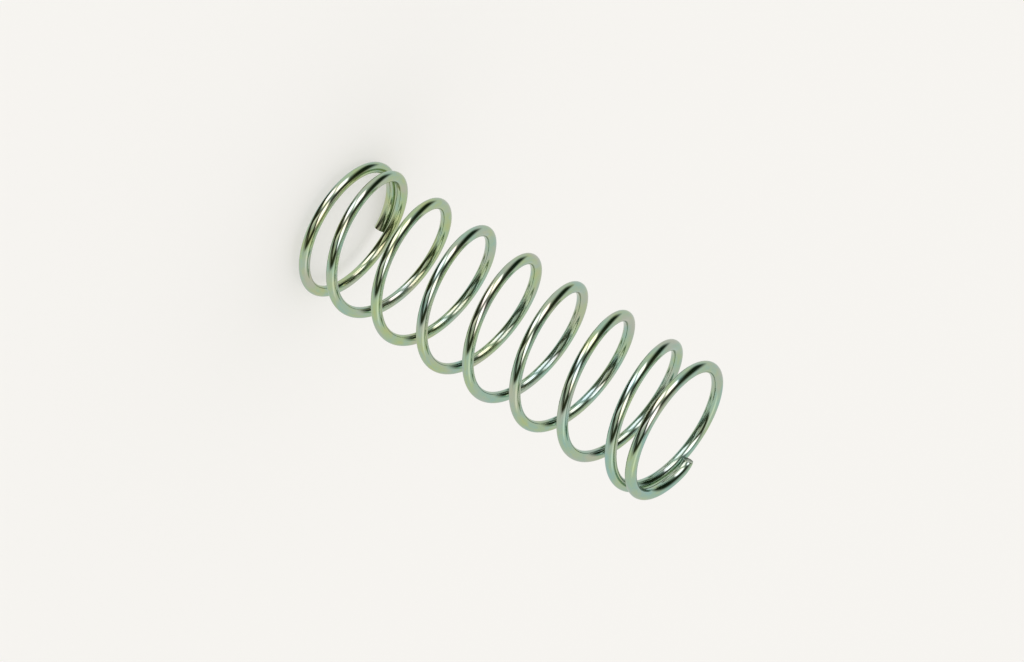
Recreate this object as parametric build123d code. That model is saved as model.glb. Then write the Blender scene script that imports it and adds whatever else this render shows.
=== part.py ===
from build123d import *
from math import cos, pi, sin
import os

# Small compression spring, as it comes off a spring coiler: one length of round wire wound
# right-handed, its ends closed down onto the next coil and cut square, not ground.
# Millimetres, +Z along the axis of the coils. The origin is on that axis, level with what
# the spring stands on, which is its lower cut end.

# Driving dimensions.
wire_diameter = 1.0
outer_diameter = 13.3
free_length = 38.5
total_turns = 8.92

# Closed ends. From its cut end the wire climbs gently, lies flat after this many turns, and
# then lifts into the full pitch over the same share of a turn at both ends.
bottom_flat_turns = 0.725
top_flat_turns = 0.685
lift_turns = 0.51
coil_clearance = 0.03

# The upper cut end is tucked in from the line of the coils over its last stretch.
top_tuck = 0.3
tuck_turns = 0.5

# Points of the centre line in each turn.
points_per_turn = 16

# Sizes that follow from them.
wire_radius = wire_diameter / 2
mean_radius = (outer_diameter - wire_diameter) / 2
centre_height = free_length - wire_diameter
closed_climb = wire_diameter + coil_clearance
middle_turn = total_turns / 2


def eased(share):
    """Climb of a ramp one turn long whose slope eases from 0 to 1, as far as share of it."""
    share = min(max(share, 0.0), 1.0)
    return share**3 - share**4 / 2


def lifted_turns(turns, flat_turns):
    """Turns of full pitch that are worth what the wire has lifted, that far from a cut end."""
    past_flat = turns - flat_turns
    return lift_turns * eased(past_flat / lift_turns) + max(past_flat - lift_turns, 0.0)


# The pitch makes up the free length: over both halves, less the closed climb at each end.
lifted_in_halves = (
    lifted_turns(middle_turn, bottom_flat_turns)
    + lifted_turns(middle_turn, top_flat_turns)
)
lifted_in_first_turns = (
    lifted_turns(1, bottom_flat_turns)
    + lifted_turns(1, top_flat_turns)
)
pitch = (centre_height - 2 * closed_climb) / (lifted_in_halves - lifted_in_first_turns)


def climb(turns, flat_turns):
    """Height of the centre line over its own cut end, that many turns away from it.

    Up to flat_turns the slope falls evenly to nothing. It starts at the slope that brings
    the wire round to lie one wire and the clearance over its cut end after one turn.
    """
    flat_climb = closed_climb - pitch * lifted_turns(1, flat_turns)
    share = min(turns / flat_turns, 1.0)
    return flat_climb * (2 * share - share**2) + pitch * lifted_turns(turns, flat_turns)


def centre_point(turns):
    """Point of the wire's centre line, that many turns up from the lower cut end."""
    from_top = total_turns - turns
    if turns < middle_turn:
        height = wire_radius + climb(turns, bottom_flat_turns)
    else:
        height = wire_radius + centre_height - climb(from_top, top_flat_turns)
    tuck = top_tuck * max(1 - from_top / tuck_turns, 0.0) ** 2
    radius = mean_radius - tuck
    angle = 2 * pi * turns
    return Vector(radius * cos(angle), radius * sin(angle), height)


def direction(turns):
    """Direction of the centre line there, from two points close together on it."""
    step = 0.0001
    return centre_point(turns + step) - centre_point(turns - step)


def wire_centre_line():
    """The centre line of the whole wire, smooth from the lower cut end to the upper one."""
    spans = round(total_turns * points_per_turn)
    points = [centre_point(total_turns * i / spans) for i in range(spans + 1)]
    end_directions = (direction(0), direction(total_turns))
    return Spline(points, tangents=end_directions, tangent_scalars=(1, 1))


def coiled_wire(centre_line):
    """The spring itself: a round section carried along the centre line, cut square."""
    cut_end = Plane(origin=centre_line @ 0, z_dir=centre_line % 0)
    section = cut_end * Circle(wire_radius)
    return sweep(section, path=centre_line, is_frenet=True)


centre_line = wire_centre_line()
spring_wire = coiled_wire(centre_line)

section_area = pi * wire_radius**2
print(f"pitch {pitch:.3f} mm, mean coil diameter {2 * mean_radius:.2f} mm")
print(f"wire length {centre_line.length:.2f} mm")
print(f"volume {spring_wire.volume:.3f} mm3, against {section_area * centre_line.length:.3f} mm3")

os.makedirs("parts", exist_ok=True)
export_step(spring_wire, "parts/spring_wire.step")
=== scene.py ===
import logging
import math
from dataclasses import dataclass, field
from enum import Enum

import bpy
import numpy as np
from mathutils import Matrix, Vector


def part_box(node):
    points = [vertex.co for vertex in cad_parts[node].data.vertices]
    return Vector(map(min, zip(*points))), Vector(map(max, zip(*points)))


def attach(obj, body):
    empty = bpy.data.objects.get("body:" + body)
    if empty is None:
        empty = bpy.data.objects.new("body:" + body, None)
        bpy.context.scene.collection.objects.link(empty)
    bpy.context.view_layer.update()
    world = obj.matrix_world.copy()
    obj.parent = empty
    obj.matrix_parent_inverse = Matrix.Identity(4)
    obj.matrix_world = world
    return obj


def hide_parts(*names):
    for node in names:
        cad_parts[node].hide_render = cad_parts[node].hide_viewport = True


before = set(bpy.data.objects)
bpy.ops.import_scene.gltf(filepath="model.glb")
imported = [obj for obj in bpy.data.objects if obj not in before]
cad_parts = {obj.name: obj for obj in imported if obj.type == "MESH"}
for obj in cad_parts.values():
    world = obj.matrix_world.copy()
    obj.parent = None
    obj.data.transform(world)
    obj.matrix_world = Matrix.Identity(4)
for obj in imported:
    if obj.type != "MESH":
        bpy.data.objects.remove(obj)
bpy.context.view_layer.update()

log = logging.getLogger("spring")
MM = 0.001
Colour = tuple[float, float, float]
PALE_PAPER: Colour = (0.922, 0.905, 0.871)


# ---------------------------------------------------------------- shader maths


class Signal:
    """One output socket of a node tree, on which shader sums are written as Python expressions."""

    def __init__(self, graph: "Graph", socket: bpy.types.NodeSocket) -> None:
        """Keeps the tree and the socket."""
        self.graph = graph
        self.socket = socket

    def _math(self, operation: str, *values: "Signal | float") -> "Signal":
        """Adds one Math node.

        Args:
            operation: The Math node's operation.
            values: Its inputs in order.

        Returns:
            The node's result.
        """
        inputs = dict(enumerate(values))
        return self.graph.node("ShaderNodeMath", {"operation": operation}, inputs)

    def __add__(self, other: "Signal | float") -> "Signal":
        """self + other."""
        return self._math("ADD", self, other)

    __radd__ = __add__

    def __sub__(self, other: "Signal | float") -> "Signal":
        """self - other."""
        return self._math("SUBTRACT", self, other)

    def __rsub__(self, other: "Signal | float") -> "Signal":
        """other - self."""
        return self._math("SUBTRACT", other, self)

    def __mul__(self, other: "Signal | float") -> "Signal":
        """self * other."""
        return self._math("MULTIPLY", self, other)

    __rmul__ = __mul__

    def __truediv__(self, other: "Signal | float") -> "Signal":
        """self / other."""
        return self._math("DIVIDE", self, other)

    def __pow__(self, other: "Signal | float") -> "Signal":
        """self ** other."""
        return self._math("POWER", self, other)

    def larger(self, other: "Signal | float") -> "Signal":
        """The larger of self and other."""
        return self._math("MAXIMUM", self, other)

    def eased(self, start: float, end: float) -> "Signal":
        """Rises smoothly from 0 to 1 as self goes from start to end.

        Args:
            start: Where the result is 0.
            end: Where it is 1. It may be below start.

        Returns:
            The smooth step.
        """
        if start > end:
            return 1 - self.eased(end, start)
        settings = {"interpolation_type": "SMOOTHSTEP"}
        inputs = {"Value": self, "From Min": start, "From Max": end}
        return self.graph.node("ShaderNodeMapRange", settings, inputs)


class Graph:
    """Builds a node tree."""

    def __init__(self, tree: bpy.types.NodeTree) -> None:
        """Empties the tree and keeps it."""
        self.tree = tree
        tree.nodes.clear()

    def node(
        self,
        kind: str,
        settings: dict[str, object] | None = None,
        inputs: dict[str | int, object] | None = None,
        output: str | int | None = 0,
    ) -> Signal | None:
        """Adds one node: its settings first, then the values or links of its sockets.

        Args:
            kind: The node's type.
            settings: Its properties by name. "stops" is a colour ramp's list of (position, colour).
            inputs: Values or Signals by socket name, identifier or number.
            output: The name, identifier or number of the output wanted, or None for an output node.

        Returns:
            That output, or None.
        """
        made = self.tree.nodes.new(kind)
        for name, value in (settings or {}).items():
            if name == "stops":
                self._fill_ramp(made.color_ramp, value)
            else:
                setattr(made, name, value)
        for name, value in (inputs or {}).items():
            socket = self._socket(made.inputs, name)
            if isinstance(value, Signal):
                self.tree.links.new(value.socket, socket)
            elif isinstance(value, tuple) and socket.type == "RGBA":
                socket.default_value = (*value, 1.0)
            else:
                socket.default_value = value
        return None if output is None else Signal(self, self._socket(made.outputs, output))

    @staticmethod
    def _socket(sockets: bpy.types.bpy_prop_collection, key: str | int) -> bpy.types.NodeSocket:
        """The socket with that number, identifier or name."""
        if isinstance(key, int):
            return sockets[key]
        found = [s for s in sockets if s.identifier == key]
        return found[0] if found else sockets[key]

    @staticmethod
    def _fill_ramp(ramp: bpy.types.ColorRamp, stops: list[tuple[float, Colour]]) -> None:
        """Gives a ramp its stops, as (position, colour) from left to right."""
        while len(ramp.elements) < len(stops):
            ramp.elements.new(1.0)
        for element, (position, colour) in zip(ramp.elements, stops):
            element.position = position
            element.color = (*colour, 1.0)

    def mixed(self, factor: Signal | float, a: Signal | Colour, b: Signal | Colour) -> Signal:
        """Blends two colours.

        Args:
            factor: 0 gives a and 1 gives b.
            a: The first colour.
            b: The second colour.

        Returns:
            The blended colour.
        """
        inputs = {"Factor_Float": factor, "A_Color": a, "B_Color": b}
        return self.node("ShaderNodeMix", {"data_type": "RGBA"}, inputs, "Result_Color")

    def dot(self, vector: Signal, axis: Vector) -> Signal:
        """How far a vector reaches along a fixed axis."""
        settings = {"operation": "DOT_PRODUCT"}
        return self.node("ShaderNodeVectorMath", settings, {0: vector, 1: tuple(axis)}, "Value")

    def stretched(self, vector: Signal, scale: Colour) -> Signal:
        """A vector with each of its parts multiplied by its own number."""
        return self.node("ShaderNodeVectorMath", {"operation": "MULTIPLY"}, {0: vector, 1: scale})

    def noise(self, vector: Signal, detail: float, rough: float) -> Signal:
        """Fractal noise between 0 and 1, one grain to a unit of length.

        Args:
            vector: Where it is read.
            detail: How many finer layers are added.
            rough: How strong the finer layers are.

        Returns:
            The noise's height.
        """
        inputs = {"Vector": vector, "Scale": 1.0, "Detail": detail, "Roughness": rough}
        return self.node("ShaderNodeTexNoise", {}, inputs, "Fac")


# ---------------------------------------------------------------------- camera


@dataclass(frozen=True)
class StudioCamera:
    """The camera, rolled so that the standing spring lies slanting across the frame.

    Angles are in degrees, lengths in millimetres.
    """

    azimuth: float = 166.56
    elevation: float = 24.5
    roll: float = 121.8
    distance: float = 269.7
    right_offset: float = 0.423
    up_offset: float = -0.327
    lens: float = 109.37
    sensor_width: float = 36.0
    clip: tuple[float, float] = (5.0, 20000.0)

    def back(self) -> Vector:
        """The direction from the spring to the camera."""
        turn, lift = math.radians(self.azimuth), math.radians(self.elevation)
        flat = math.cos(lift)
        return Vector((flat * math.cos(turn), flat * math.sin(turn), math.sin(lift)))

    def right(self) -> Vector:
        """The direction of the picture's right-hand side."""
        turn, roll = math.radians(self.azimuth), math.radians(self.roll)
        level = Vector((-math.sin(turn), math.cos(turn), 0.0))
        return level * math.cos(roll) + self.back().cross(level) * math.sin(roll)

    def up(self) -> Vector:
        """The direction of the picture's top."""
        return self.back().cross(self.right())

    def build(self, target: Vector) -> bpy.types.Object:
        """Makes the camera and gives it to the scene.

        Args:
            target: The middle of the spring.

        Returns:
            The camera.
        """
        data = bpy.data.cameras.new("studio_camera")
        data.lens = self.lens
        data.sensor_width = self.sensor_width
        data.clip_start, data.clip_end = self.clip[0] * MM, self.clip[1] * MM
        camera = bpy.data.objects.new("studio_camera", data)
        bpy.context.scene.collection.objects.link(camera)
        sides = (self.right(), self.up(), self.back())
        offset = self.right() * self.right_offset + self.up() * self.up_offset
        place = target + (self.back() * self.distance + offset) * MM
        turned = Matrix(sides).transposed().to_4x4()
        camera.matrix_world = Matrix.Translation(place) @ turned
        bpy.context.scene.camera = camera
        return camera


# ---------------------------------------------------------------------- studio


@dataclass(frozen=True)
class StudioCard:
    """A bright pane or a dark card of the studio, as the shiny wire sees it.

    It has rounded corners and soft edges. Angles are in degrees: its middle stands so far to the
    picture's right of the direction back to the camera, and so far above it.
    """

    right: float
    above: float
    half_width: float
    half_height: float
    tilt: float
    colour: Colour
    softness: float

    def cover(self, across: Signal, upward: Signal) -> Signal:
        """How much of the studio the card hides at each direction.

        The distance from the card's middle is the fourth root of the sum of the fourth powers of the
        two distances along its sides, each as a share of half that side.

        Args:
            across: The direction's first coordinate on the flattened sphere.
            upward: Its second coordinate.

        Returns:
            1 inside the card, 0 outside it.
        """
        away = math.radians(math.hypot(self.right, self.above))
        turn, tilt = math.atan2(self.above, self.right), math.radians(self.tilt)
        reach = math.tan(away / 2)
        spread = (1 + reach**2) / 2
        wide = math.radians(self.half_width) * spread
        high = math.radians(self.half_height) * spread
        x = across - reach * math.cos(turn)
        y = upward - reach * math.sin(turn)
        along = (x * math.cos(tilt) + y * math.sin(tilt)) / wide
        over = (y * math.cos(tilt) - x * math.sin(tilt)) / high
        far = (along * along * along * along + over * over * over * over) ** 0.25
        return far.eased(1 + self.softness, 1 - self.softness)


@dataclass(frozen=True)
class StudioWindow:
    """A light with two rows of two panes behind the camera, its lower left pane shaded.

    Angles are in degrees, its middle given as a card's is.
    """

    right: float = -5
    above: float = 20
    column_step: float = 48
    row_step: float = 62
    half_width: float = 22
    half_height: float = 13
    tilt: float = -55
    light: Colour = (2.7, 2.2, 2.45)
    shade: Colour = (0.6, 0.6, 0.52)
    softness: float = 0.3

    def panes(self) -> list[StudioCard]:
        """The four panes, from the lower left one to the upper right one."""
        panes = []
        for row in (-0.5, 0.5):
            for column in (-0.5, 0.5):
                right = self.right + column * self.column_step
                above = self.above + row * self.row_step
                colour = self.shade if row < 0 and column < 0 else self.light
                size = (self.half_width, self.half_height, self.tilt)
                panes.append(StudioCard(right, above, *size, colour, self.softness))
        return panes


@dataclass(frozen=True)
class LightTent:
    """The pale tent round the spring: the world's colours for each kind of ray.

    Shiny metal sees the tent with its window and its cards: a dark hood round the camera with a dark
    flag at each side, a dark post and a grey shade at the window's right, a grey haze over its middle,
    a pale ledge at its left and a soft glow low at the right. The camera sees the plain pale backdrop,
    and everything else is lit by the tent's even light.
    """

    backdrop: Colour = PALE_PAPER
    even_light: Colour = (0.875, 0.875, 0.875)
    cloth: Colour = (0.73, 0.775, 0.71)
    hood: StudioCard = StudioCard(-10, -15, 50, 40, 0, (0.035, 0.04, 0.02), 0.15)
    left_flag: StudioCard = StudioCard(-80, 50, 20, 50, 30, (0.03, 0.03, 0.015), 0.4)
    right_flag: StudioCard = StudioCard(75, 60, 25, 40, -15, (0.01, 0.02, 0.01), 0.6)
    haze: StudioCard = StudioCard(15, 10, 60, 12, -30, (0.34, 0.36, 0.34), 0.9)
    post: StudioCard = StudioCard(60, 10, 35, 15, 30, (0.02, 0.02, 0.005), 0.8)
    shade: StudioCard = StudioCard(40, -30, 30, 10, -55, (0.40, 0.40, 0.33), 0.2)
    window: StudioWindow = StudioWindow()
    ledge: StudioCard = StudioCard(-35, 5, 20, 6, 0, (1.1, 1.0, 1.0), 0.6)
    glow: StudioCard = StudioCard(25, -75, 10, 15, 0, (1.15, 1.15, 1.05), 0.9)

    def cards(self) -> list[StudioCard]:
        """Everything in the tent that the metal mirrors, each hiding what comes before it."""
        dark = [self.hood, self.left_flag, self.right_flag, self.haze, self.post, self.shade]
        return [*dark, *self.window.panes(), self.ledge, self.glow]

    def build(self, camera: StudioCamera) -> None:
        """Makes the world.

        A direction is flattened onto a plane: its parts along the picture's right and up, each
        divided by one plus its part back to the camera. That sum is nothing straight away from the
        camera, so it is kept from falling any lower than a small number.

        Args:
            camera: The camera that the cards are placed round.
        """
        straight_away = 0.01
        world = bpy.data.worlds.new("light_tent")
        bpy.context.scene.world = world
        world.use_nodes = True
        g = Graph(world.node_tree)
        direction = g.node("ShaderNodeTexCoord", output="Generated")
        toward = g.dot(direction, camera.back()) + 1
        across = g.dot(direction, camera.right()) / toward.larger(straight_away)
        upward = g.dot(direction, camera.up()) / toward.larger(straight_away)
        seen: Signal | Colour = self.cloth
        for card in self.cards():
            seen = g.mixed(card.cover(across, upward), seen, card.colour)
        glossy = g.node("ShaderNodeLightPath", output="Is Glossy Ray")
        direct = g.node("ShaderNodeLightPath", output="Is Camera Ray")
        colour = g.mixed(direct, g.mixed(glossy, self.even_light, seen), self.backdrop)
        shader = g.node("ShaderNodeBackground", {}, {"Color": colour, "Strength": 1.0})
        g.node("ShaderNodeOutputWorld", {}, {"Surface": shader}, None)


@dataclass(frozen=True)
class KeyLamp:
    """A broad soft lamp overhead, which draws the spring's shadow on the floor."""

    strength: float = 0.45
    spread: float = 75.0
    lean: tuple[float, float, float] = (0.35, -0.2, 1.0)

    def build(self) -> bpy.types.Object:
        """Makes the lamp, which the shiny metal doesn't mirror.

        Returns:
            The lamp.
        """
        data = bpy.data.lights.new("key_lamp", "SUN")
        data.energy = self.strength
        data.angle = math.radians(self.spread)
        lamp = bpy.data.objects.new("key_lamp", data)
        bpy.context.scene.collection.objects.link(lamp)
        lamp.rotation_mode = "QUATERNION"
        lamp.rotation_quaternion = Vector(self.lean).to_track_quat("Z", "Y")
        lamp.visible_glossy = False
        return lamp


@dataclass(frozen=True)
class PaleFloor:
    """The plain pale floor that the spring stands on."""

    half_side: float = 2.0
    colour: Colour = PALE_PAPER
    seen_pale: float = 0.5

    def build(self) -> bpy.types.Object:
        """Makes the floor, which keeps a faint shadow and which the metal doesn't mirror.

        The camera sees a share of the floor as the plain pale backdrop, so the shadow stays light.

        Returns:
            The floor.
        """
        h = self.half_side
        mesh = bpy.data.meshes.new("floor")
        mesh.from_pydata([(-h, -h, 0), (h, -h, 0), (h, h, 0), (-h, h, 0)], [], [(0, 1, 2, 3)])
        floor = bpy.data.objects.new("floor", mesh)
        bpy.context.scene.collection.objects.link(floor)
        material = bpy.data.materials.new("pale_paper")
        material.use_nodes = True
        g = Graph(material.node_tree)
        inputs = {"Base Color": self.colour, "Roughness": 1.0, "Specular IOR Level": 0.0}
        paper = g.node("ShaderNodeBsdfPrincipled", {}, inputs)
        glow = g.node("ShaderNodeEmission", {}, {"Color": self.colour, "Strength": 1.0})
        share = self.seen_pale * g.node("ShaderNodeLightPath", output="Is Camera Ray")
        shader = g.node("ShaderNodeMixShader", {}, {0: share, 1: paper, 2: glow})
        g.node("ShaderNodeOutputMaterial", {}, {"Surface": shader}, None)
        mesh.materials.append(material)
        floor.visible_glossy = False
        return floor


# ------------------------------------------------------------------- zinc plate


@dataclass(frozen=True)
class Grain:
    """A noise over the wire's skin.

    It has so many grains to a millimetre along the wire and across it, with so many finer layers of
    that strength.
    """

    along: float
    across: float
    layers: float
    strength: float = 0.5

    def over(self, g: Graph, wire: Signal) -> Signal:
        """Adds the noise to a material.

        Args:
            g: The material's nodes.
            wire: The place on the wire: along it, and outward and sideways from its middle.

        Returns:
            The noise, between 0 and 1.
        """
        place = g.stretched(wire, (self.along, self.across, self.across))
        return g.noise(place, self.layers, self.strength)


@dataclass(frozen=True)
class ZincPlate:
    """Bright zinc plate with a pale green passivated film, over drawn steel wire.

    The film's colour goes with its thickness, from blue green through sage to straw, and here and
    there it is rose grey. The thickness has a middle value, what each millimetre along the wire
    takes off it, and shares of three noises. Heights are in metres.
    """

    name: str = "zinc_plated_wire"
    film: tuple[tuple[float, Colour], ...] = (
        (0.15, (0.38, 0.57, 0.54)),
        (0.36, (0.42, 0.58, 0.48)),
        (0.52, (0.47, 0.59, 0.44)),
        (0.68, (0.50, 0.61, 0.37)),
        (0.88, (0.55, 0.60, 0.32)),
    )
    thickness: float = 0.595
    thinning: float = 0.0006
    drift: Grain = Grain(0.035, 0.3, 1.0)
    drift_share: float = 0.5
    patches: Grain = Grain(0.4, 0.9, 3.0, 0.6)
    patches_share: float = 1.5
    streaks: Grain = Grain(0.08, 5.0, 2.0)
    streaks_share: float = 0.5
    rose: Colour = (0.60, 0.565, 0.49)
    blush: Grain = Grain(0.22, 0.6, 2.0)
    blush_range: tuple[float, float] = (0.45, 0.75)
    blush_share: float = 0.75
    edge_tint: Colour = (0.88, 0.86, 0.88)
    cut_face: Colour = (0.62, 0.64, 0.57)
    tear: Grain = Grain(14.0, 14.0, 3.0, 0.6)
    tear_height: float = 2.0
    drawing_lines: Grain = Grain(0.03, 3.0, 1.0, 0.4)
    line_height: float = 3e-6
    roughness: float = 0.05
    film_roughness: float = 0.03
    cut_roughness: float = 0.25

    def build(self) -> bpy.types.Material:
        """Makes the material.

        Film thickness is a slow drift along the wire with patches a few millimetres long, and falls
        a little towards the upper tip. Drawing lines run along the wire.

        Returns:
            The material.
        """
        material = bpy.data.materials.new(self.name)
        material.use_nodes = True
        g = Graph(material.node_tree)
        wire = g.node("ShaderNodeAttribute", {"attribute_name": "along_wire"}, output="Vector")
        cut = g.node("ShaderNodeAttribute", {"attribute_name": "sheared"}, output="Fac")
        along = g.node("ShaderNodeSeparateXYZ", {}, {"Vector": wire}, "X")
        drift = self.drift.over(g, wire)
        patches = self.patches.over(g, wire)
        streaks = self.streaks.over(g, wire)
        film = self.thickness + (drift - 0.5) * self.drift_share
        film = film + (patches - 0.5) * self.patches_share
        film = film + (streaks - 0.5) * self.streaks_share
        film = film - along * self.thinning
        colour = g.node("ShaderNodeValToRGB", {"stops": self.film}, {"Fac": film}, "Color")
        blush = self.blush.over(g, wire).eased(*self.blush_range)
        colour = g.mixed(blush * self.blush_share, colour, self.rose)
        tear = self.tear.over(g, wire)
        colour = g.mixed(cut * (0.5 + tear * 0.5), colour, self.cut_face)
        rough = self.roughness + self.film_roughness * patches + self.film_roughness * streaks
        rough = rough + cut * self.cut_roughness
        height = self.drawing_lines.over(g, wire) + cut * (tear * self.tear_height)
        sockets = {"Strength": 1.0, "Distance": self.line_height, "Height": height}
        bump = g.node("ShaderNodeBump", {}, sockets, "Normal")
        inputs = {
            "Base Color": colour,
            "Metallic": 1.0,
            "Roughness": rough,
            "Specular Tint": self.edge_tint,
            "Normal": bump,
        }
        shader = g.node("ShaderNodeBsdfPrincipled", {}, inputs)
        g.node("ShaderNodeOutputMaterial", {}, {"Surface": shader}, None)
        return material


# -------------------------------------------------------------------- the wire


class Side(Enum):
    """A side of the wire, by its angle in degrees from the outside of the coil."""

    OUTSIDE = 0.0
    INSIDE_TOP = 205.0
    TOP = 295.0


@dataclass(frozen=True)
class ShearedTip:
    """One sheared end of the wire.

    The cutter enters on the rolled side and rolls that edge over, and breaks out on the other side
    with a sharp edge. It may leave the cut leaning, and push the last of the wire towards the next
    coil. Lengths are in millimetres and the lean in degrees. Places across the face run from -1 to 1
    along the rolled side, and rings_in gives the face's rings as shares of its radius.
    """

    rolled_side: Side = Side.OUTSIDE
    rolled_edge: float = 0.06
    sharp_edge: float = 0.02
    lean: float = 0.0
    leaning_side: Side = Side.INSIDE_TOP
    pushed_length: float = 1.2
    pushed_in: float = 0.0
    pushed_down: float = 0.0
    blend: float = 0.6
    flat_side: Side = Side.TOP
    flat_depth: float = 0.0
    flat_length: float = 1.2
    edge_fullness: float = 1.5
    edge_rings: int = 7
    rings_before: tuple[float, ...] = (0.4, 0.3, 0.2, 0.12, 0.06, 0.025, 0.008)
    rings_in: tuple[float, ...] = (0.985, 0.94, 0.84, 0.7, 0.54, 0.38, 0.22, 0.08)
    break_start: float = 0.1
    break_width: float = 0.4
    break_rim: float = 0.25
    break_depth: float = 0.035
    ripple_height: float = 0.006
    ripple_waves: tuple[tuple[float, float], ...] = ((17, 3), (-5, 9))

    def flattened(self, from_tip: np.ndarray, angle: np.ndarray, reach: np.ndarray) -> np.ndarray:
        """Flattens one side of the wire near the tip.

        The flat's distance from the centre line is the wire's radius less the flat's depth times
        the share of its length that is left. A point beyond it comes in to it.

        Args:
            from_tip: Distance along the wire from the tip.
            angle: Angle round the wire, 0 on the outside of the coil.
            reach: The point's radius. The largest of them all is the wire's radius.

        Returns:
            The radius, no larger than reach.
        """
        share = np.clip(1 - from_tip / self.flat_length, 0.0, 1.0)
        limit = reach.max() - self.flat_depth * share
        least_facing = 0.1
        facing = np.cos(angle - math.radians(self.flat_side.value))
        return np.minimum(reach, limit / np.maximum(facing, least_facing))

    def pushed(self, from_tip: np.ndarray) -> np.ndarray:
        """How much of the push there is: the square of the share of its length that is left.

        Args:
            from_tip: Distance along the wire from the tip.

        Returns:
            1 at the tip and 0 past the pushed length.
        """
        return np.clip(1 - from_tip / self.pushed_length, 0.0, None) ** 2

    def profile(
        self, angle: np.ndarray, radius: float
    ) -> tuple[np.ndarray, np.ndarray, np.ndarray]:
        """The rings of the tip, from the round wire to the rim of the tiny middle.

        The edge radius goes with the cosine of the angle from the rolled side. The face is flat
        where the cutter pressed. Where the wire broke it dips by a smooth step, times its share of
        the way in from the rim, and ripples by the product of two sines across it. The lean sets a
        ring back by its tangent times the distance across the wire, fading out along the blend.

        Args:
            angle: Angles round the wire, 0 on the outside of the coil.
            radius: The wire's radius.

        Returns:
            For each ring and angle: the set-back from the tip, the radius and the share of cut face.
        """
        turned = angle - math.radians(self.rolled_side.value)
        share = (0.5 + 0.5 * np.cos(turned)) ** self.edge_fullness
        edge = self.sharp_edge + (self.rolled_edge - self.sharp_edge) * share
        before = np.array(self.rings_before)[:, None] + edge
        bend = np.linspace(0, np.pi / 2, self.edge_rings)[:, None]
        inward = np.array(self.rings_in)[:, None]
        edge_radius = radius - edge * (1 - np.cos(bend))
        face_radius = inward * (radius - edge)
        x = face_radius * np.cos(turned) / radius
        y = face_radius * np.sin(turned) / radius
        broken = np.clip((self.break_start - x) / self.break_width, 0.0, 1.0)
        within = np.clip((1 - inward) / self.break_rim, 0.0, 1.0)
        dip = self.break_depth * broken**2 * (3 - 2 * broken) * within
        ripple = self.ripple_height * broken
        for along_side, over_side in self.ripple_waves:
            ripple = ripple * np.sin(along_side * x + over_side * y)
        reach = np.concatenate([np.full_like(before, radius), edge_radius, face_radius])
        back = np.concatenate([before, edge * (1 - np.sin(bend)), dip + ripple])
        across = reach * np.cos(angle - math.radians(self.leaning_side.value))
        fade = np.clip(1 - back / self.blend, 0.0, 1.0)
        back = back + math.tan(math.radians(self.lean)) * across * fade
        turned_in = np.sin(bend) ** 4 * np.ones_like(edge)
        cut = np.concatenate([np.zeros_like(before), turned_in, np.ones_like(face_radius)])
        return back, reach, cut


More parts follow.
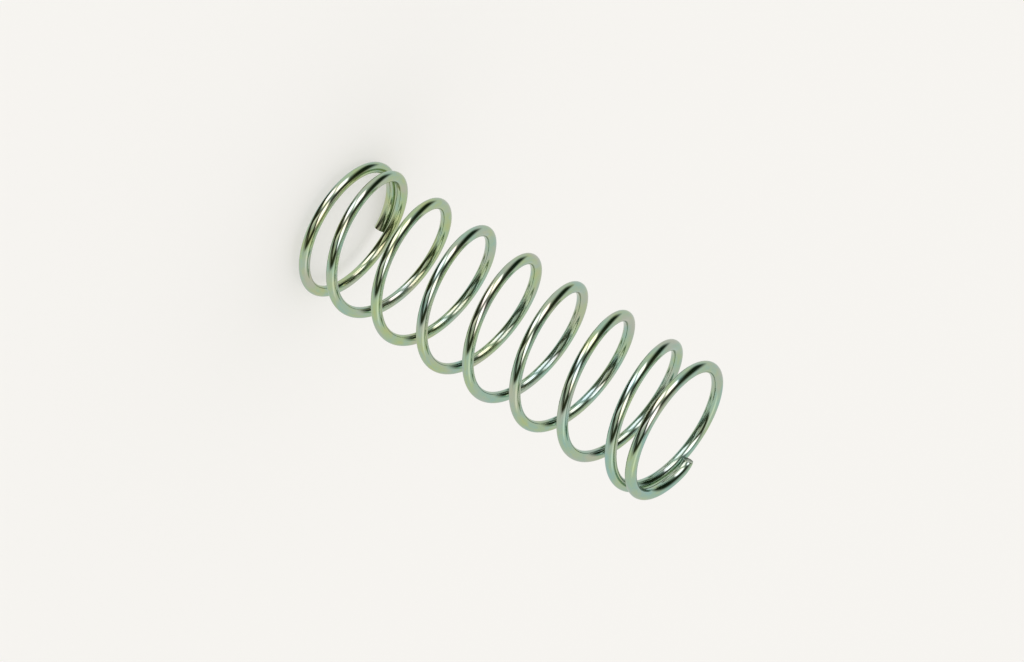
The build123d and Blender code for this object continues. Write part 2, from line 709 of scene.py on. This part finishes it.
@dataclass
class CoiledWire:
    """The spring's wire, from its lower tip to its upper one.

    Lengths are in millimetres and angles along the wire in turns. The outer diameter and the free
    length come from the CAD box. The tips' own rings take up the tip length at each end. Sizes in the
    wire's map are shares: a strip's length of the map, its height of its own band, and how far past
    the tip's edge the tiny middle lies.
    """

    outer_diameter: float
    free_length: float
    wire_diameter: float = 1.0
    total_turns: float = 8.92
    bottom_flat_turns: float = 0.725
    top_flat_turns: float = 0.685
    lift_turns: float = 0.51
    coil_clearance: float = 0.03
    top_tuck: float = 0.3
    tuck_turns: float = 0.5
    rings_per_turn: int = 96
    around: int = 40
    tip_length: float = 0.65
    strips: int = 10
    strip_length: float = 0.98
    strip_height: float = 0.92
    pole_inset: float = 0.0004
    lower_tip: ShearedTip = ShearedTip()
    upper_tip: ShearedTip = ShearedTip(
        rolled_side=Side.INSIDE_TOP,
        lean=18.0,
        pushed_in=0.15,
        pushed_down=0.07,
        flat_depth=0.09,
    )
    pitch: float = field(init=False)

    def __post_init__(self) -> None:
        """Works out the open coils' pitch from the free length."""
        closed = self.wire_diameter + self.coil_clearance
        middle = self.total_turns / 2
        halves = first = 0.0
        for flat in (self.bottom_flat_turns, self.top_flat_turns):
            halves += float(self._lifted(np.float64(middle), flat))
            first += float(self._lifted(np.float64(1.0), flat))
        self.pitch = (self.free_length - self.wire_diameter - 2 * closed) / (halves - first)

    @property
    def mean_radius(self) -> float:
        """The radius of the wire's centre line."""
        return (self.outer_diameter - self.wire_diameter) / 2

    @property
    def per_turn(self) -> float:
        """The length of one flat turn of the centre line."""
        return 2 * math.pi * self.mean_radius

    def _lifted(self, turns: np.ndarray, flat: float) -> np.ndarray:
        """How many whole pitches the open coils have climbed.

        Past the flat turns the slope eases in: with x the share of the lift turns, the climb is
        x cubed less half its fourth power, times the lift turns, and then one for one.

        Args:
            turns: Turns from the tip.
            flat: How many turns lie flat first.

        Returns:
            The climb in pitches.
        """
        past = turns - flat
        share = np.clip(past / self.lift_turns, 0.0, 1.0)
        ease = self.lift_turns * (share**3 - share**4 / 2)
        return ease + np.maximum(past - self.lift_turns, 0.0)

    def _climb(self, turns: np.ndarray, flat: float) -> np.ndarray:
        """How far the centre line has risen from its tip.

        Args:
            turns: Turns from the tip.
            flat: How many turns lie flat.

        Returns:
            The rise in millimetres.
        """
        closed = self.wire_diameter + self.coil_clearance
        rest = closed - self.pitch * self._lifted(np.float64(1.0), flat)
        share = np.minimum(turns / flat, 1.0)
        return rest * (2 * share - share**2) + self.pitch * self._lifted(turns, flat)

    def centre(self, turns: np.ndarray) -> np.ndarray:
        """Points on the wire's centre line.

        The lower half rises from the lower tip and the upper half hangs from the upper tip. The last
        turns draw in by the tuck times the square of the share of the tuck turns that is left, and
        the upper tip is pushed in and down.

        Args:
            turns: Turns from the lower tip.

        Returns:
            One point for each, in a new last axis.
        """
        from_top = self.total_turns - turns
        radius = self.wire_diameter / 2
        low = radius + self._climb(turns, self.bottom_flat_turns)
        high = self.free_length - radius - self._climb(from_top, self.top_flat_turns)
        tuck = self.top_tuck * np.maximum(1 - from_top / self.tuck_turns, 0.0) ** 2
        pushed = self.upper_tip.pushed(from_top * self.per_turn)
        reach = self.mean_radius - tuck - self.upper_tip.pushed_in * pushed
        high = high - self.upper_tip.pushed_down * pushed
        angle = 2 * np.pi * turns
        height = np.where(turns < self.total_turns / 2, low, high)
        return np.stack([reach * np.cos(angle), reach * np.sin(angle), height], -1)

    def frames(self, turns: np.ndarray) -> tuple[np.ndarray, np.ndarray, np.ndarray]:
        """The centre line with its directions.

        The tangent is a central difference. Outward is the direction from the spring's axis, squared
        up to the tangent, and sideways is across both.

        Args:
            turns: Turns from the lower tip.

        Returns:
            Points, outward directions and sideways directions.
        """
        step = 1e-5
        tangent = self.centre(turns + step) - self.centre(turns - step)
        tangent /= np.linalg.norm(tangent, axis=-1, keepdims=True)
        angle = 2 * np.pi * turns
        outward = np.stack([np.cos(angle), np.sin(angle), np.zeros_like(angle)], -1)
        outward -= tangent * (outward * tangent).sum(-1, keepdims=True)
        outward /= np.linalg.norm(outward, axis=-1, keepdims=True)
        return self.centre(turns), outward, np.cross(tangent, outward)

    def rings(self) -> tuple[np.ndarray, np.ndarray, np.ndarray, np.ndarray]:
        """The whole surface as rings along the wire.

        Returns:
            For each ring and angle: the turns from the lower tip, the radius and the share of cut
            face, and last the angles.
        """
        angle = np.arange(self.around) * 2 * np.pi / self.around
        thick = self.wire_diameter / 2
        low_back, low_reach, low_cut = self.lower_tip.profile(angle, thick)
        high_back, high_reach, high_cut = self.upper_tip.profile(angle, thick)
        start = self.tip_length / self.per_turn
        count = int(round((self.total_turns - 2 * start) * self.rings_per_turn)) + 1
        body = np.linspace(start, self.total_turns - start, count)[:, None] * np.ones_like(angle)
        low, high = low_back[::-1] / self.per_turn, self.total_turns - high_back / self.per_turn
        turns = np.concatenate([low, body, high])
        radius = np.concatenate([low_reach[::-1], np.full_like(body, thick), high_reach])
        radius = self.lower_tip.flattened(turns * self.per_turn, angle, radius)
        left = (self.total_turns - turns) * self.per_turn
        radius = self.upper_tip.flattened(left, angle, radius)
        cut = np.concatenate([low_cut[::-1], np.zeros_like(body), high_cut])
        return turns, radius, cut, angle

    def strip_map(self, along: np.ndarray, radius: np.ndarray) -> np.ndarray:
        """The wire's own map: its skin unrolled and cut into equal strips, one above another.

        Across a strip is the distance over the surface from ring to ring, as a share of the longest
        strip, and up it is the angle round the wire.

        Args:
            along: Each grid point's place along the wire.
            radius: Its distance from the centre line.

        Returns:
            The place of each corner of each face, in the order of the faces.
        """
        rows, around = along.shape[0] - 1, along.shape[1]
        steps = np.hypot(np.diff(along, axis=0), np.diff(radius, axis=0)).mean(1)
        distance = np.concatenate([[0.0], np.cumsum(steps)])
        strip = np.arange(rows) * self.strips // rows
        start = distance[np.searchsorted(strip, np.arange(self.strips))]
        ends = np.append(start[1:], distance[-1])
        scale = self.strip_length / (ends - start).max()
        margin, edge_margin = (1 - self.strip_length) / 2, (1 - self.strip_height) / 2
        left = margin + (distance[:-1] - start[strip]) * scale
        right = margin + (distance[1:] - start[strip]) * scale
        band = (np.arange(around + 1) / around) * self.strip_height + edge_margin
        low = (strip[:, None] + band[None, :-1]) / self.strips
        high = (strip[:, None] + band[None, 1:]) / self.strips
        left, right = left[:, None] * np.ones_like(low), right[:, None] * np.ones_like(low)
        quads = np.stack([left, low, left, high, right, high, right, low], -1).reshape(-1, 2)
        tips = []
        for row, side, order in ((0, left, (high, low)), (rows - 1, right, (low, high))):
            edge, middle = side[row], (low[row] + high[row]) / 2
            first, second = order[0][row], order[1][row]
            inner = edge + (-self.pole_inset if row == 0 else self.pole_inset)
            tips.append(np.stack([inner, middle, edge, first, edge, second], -1).reshape(-1, 2))
        return np.concatenate([quads, *tips])

    @staticmethod
    def faces(count: int, around: int) -> list[list[int]]:
        """The faces over a grid of rings, with a fan of triangles round a pole at each tip.

        Args:
            count: How many rings there are.
            around: How many points each has. The two poles are numbered after all of them.

        Returns:
            The corners of each face: first the quads, then the lower fan and the upper one.
        """
        ring = np.arange(count - 1)[:, None] * around
        here = np.arange(around)
        after = (here + 1) % around
        quads = np.stack([ring + here, ring + after, ring + around + after, ring + around + here], -1)
        last = (count - 1) * around
        first_pole, last_pole = np.full(around, count * around), np.full(around, count * around + 1)
        lower = np.stack([first_pole, after, here], -1)
        upper = np.stack([last_pole, last + here, last + after], -1)
        return [*quads.reshape(-1, 4).tolist(), *lower.tolist(), *upper.tolist()]

    def build(self) -> bpy.types.Object:
        """Makes the wire's mesh, with its map and the attributes that its finish reads.

        A point is the centre line plus the radius times the cosine of the angle outward and its sine
        sideways. A point in the middle closes each tip.

        Returns:
            The wire.
        """
        turns, radius, cut, angle = self.rings()
        centre, outward, sideways = self.frames(turns)
        x, y = radius * np.cos(angle), radius * np.sin(angle)
        grid = centre + x[..., None] * outward + y[..., None] * sideways
        poles = np.stack([grid[0].mean(0), grid[-1].mean(0)])
        points = np.concatenate([grid.reshape(-1, 3), poles]) * MM
        along = turns * self.per_turn
        wire_places = np.stack([along, x, y], -1)
        ends = np.stack([wire_places[0].mean(0), wire_places[-1].mean(0)])
        wire_places = np.concatenate([wire_places.reshape(-1, 3), ends])
        mesh = bpy.data.meshes.new("spring_wire_finished")
        mesh.from_pydata(points.tolist(), [], self.faces(*turns.shape))
        layer = mesh.uv_layers.new(name="OFBake")
        layer.uv.foreach_set("vector", self.strip_map(along, radius).astype(np.float32).ravel())
        mesh.shade_smooth()
        cut_share = np.concatenate([cut.ravel(), [1.0, 1.0]])
        stored = mesh.attributes.new("along_wire", "FLOAT_VECTOR", "POINT")
        stored.data.foreach_set("vector", wire_places.astype(np.float32).ravel())
        stored = mesh.attributes.new("sheared", "FLOAT", "POINT")
        stored.data.foreach_set("value", cut_share.astype(np.float32))
        wire = bpy.data.objects.new("spring_wire_finished", mesh)
        bpy.context.scene.collection.objects.link(wire)
        mesh.materials.append(ZincPlate().build())
        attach(wire, "root")
        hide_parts("spring_wire")
        return wire


# ------------------------------------------------------------------- the scene


def main() -> None:
    """Builds the spring, the studio and the camera."""
    logging.basicConfig(level=logging.INFO, format="%(message)s")
    scene = bpy.context.scene
    scene.view_settings.view_transform = "Standard"
    low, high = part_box("spring_wire")
    size = (high - low) / MM
    wire = CoiledWire(outer_diameter=max(size.x, size.y), free_length=size.z)
    piece = wire.build()
    log.info("spring_wire_finished: %d faces, pitch %.3f mm", len(piece.data.polygons), wire.pitch)
    camera = StudioCamera()
    camera.build(Vector((0.0, 0.0, (low.z + high.z) / 2)))
    LightTent().build(camera)
    KeyLamp().build()
    PaleFloor().build()
    log.info("studio: camera, light tent, key lamp and floor")


if __name__ == "__main__":
    main()
